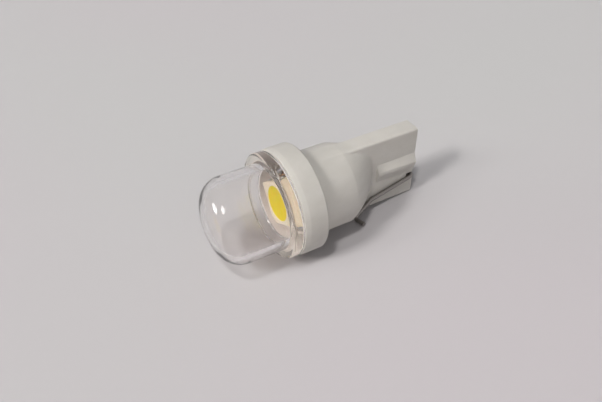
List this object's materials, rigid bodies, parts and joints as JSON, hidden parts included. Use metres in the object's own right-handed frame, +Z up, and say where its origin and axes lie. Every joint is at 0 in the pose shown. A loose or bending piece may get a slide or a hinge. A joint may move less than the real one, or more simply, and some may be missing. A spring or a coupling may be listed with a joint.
{
  "type": "wedge base led bulb",
  "caption": "Small wedge base LED bulb with a clear domed lens, a round collar, a flat plug blade and thin contact wires folded over the blade's end.",
  "frame": {"origin": "on the surface that the bulb lies on, under the middle of its bounding box", "axes": "+X from the dome to the plug, +Y across the plug's thickness, +Z up; the bulb's own axis runs along +X and dips 6.15 degrees towards the plug, as it lies at rest"},
  "size_m": [0.0266, 0.0122, 0.0124],
  "materials": {
    "white_plastic": "satin off-white moulded plastic",
    "clear_plastic": "clear glossy moulded plastic",
    "board_laminate": "white solder resist on glass laminate",
    "copper_pad": "copper foil",
    "led_package": "satin white moulding resin",
    "phosphor": "soft yellow silicone",
    "led_chip": "polished chip",
    "tinned_terminal": "tinned metal",
    "resistor_ceramic": "dark glazed chip",
    "tinned_wire": "dull tinned wire",
    "solder": "bright solder"
  },
  "bodies": {
    "root": {"base_housing": "white_plastic", "lens_dome": "clear_plastic", "circuit_board": "board_laminate", "front_pad_1": "copper_pad", "front_pad_2": "copper_pad", "led_body": "led_package", "led_phosphor": "phosphor", "led_die_1": "led_chip", "led_die_2": "led_chip", "led_die_3": "led_chip", "led_terminal_1": "tinned_terminal", "led_terminal_2": "tinned_terminal", "led_terminal_3": "tinned_terminal", "led_terminal_4": "tinned_terminal", "led_terminal_5": "tinned_terminal", "led_terminal_6": "tinned_terminal", "back_pad_1": "copper_pad", "back_pad_2": "copper_pad", "resistor_body": "resistor_ceramic", "resistor_cap_1": "tinned_terminal", "resistor_cap_2": "tinned_terminal", "contact_wire_lower": "tinned_wire", "contact_wire_upper": "tinned_wire", "joint_solder_1": "solder", "joint_solder_2": "solder"}
  },
  "joints": []
}
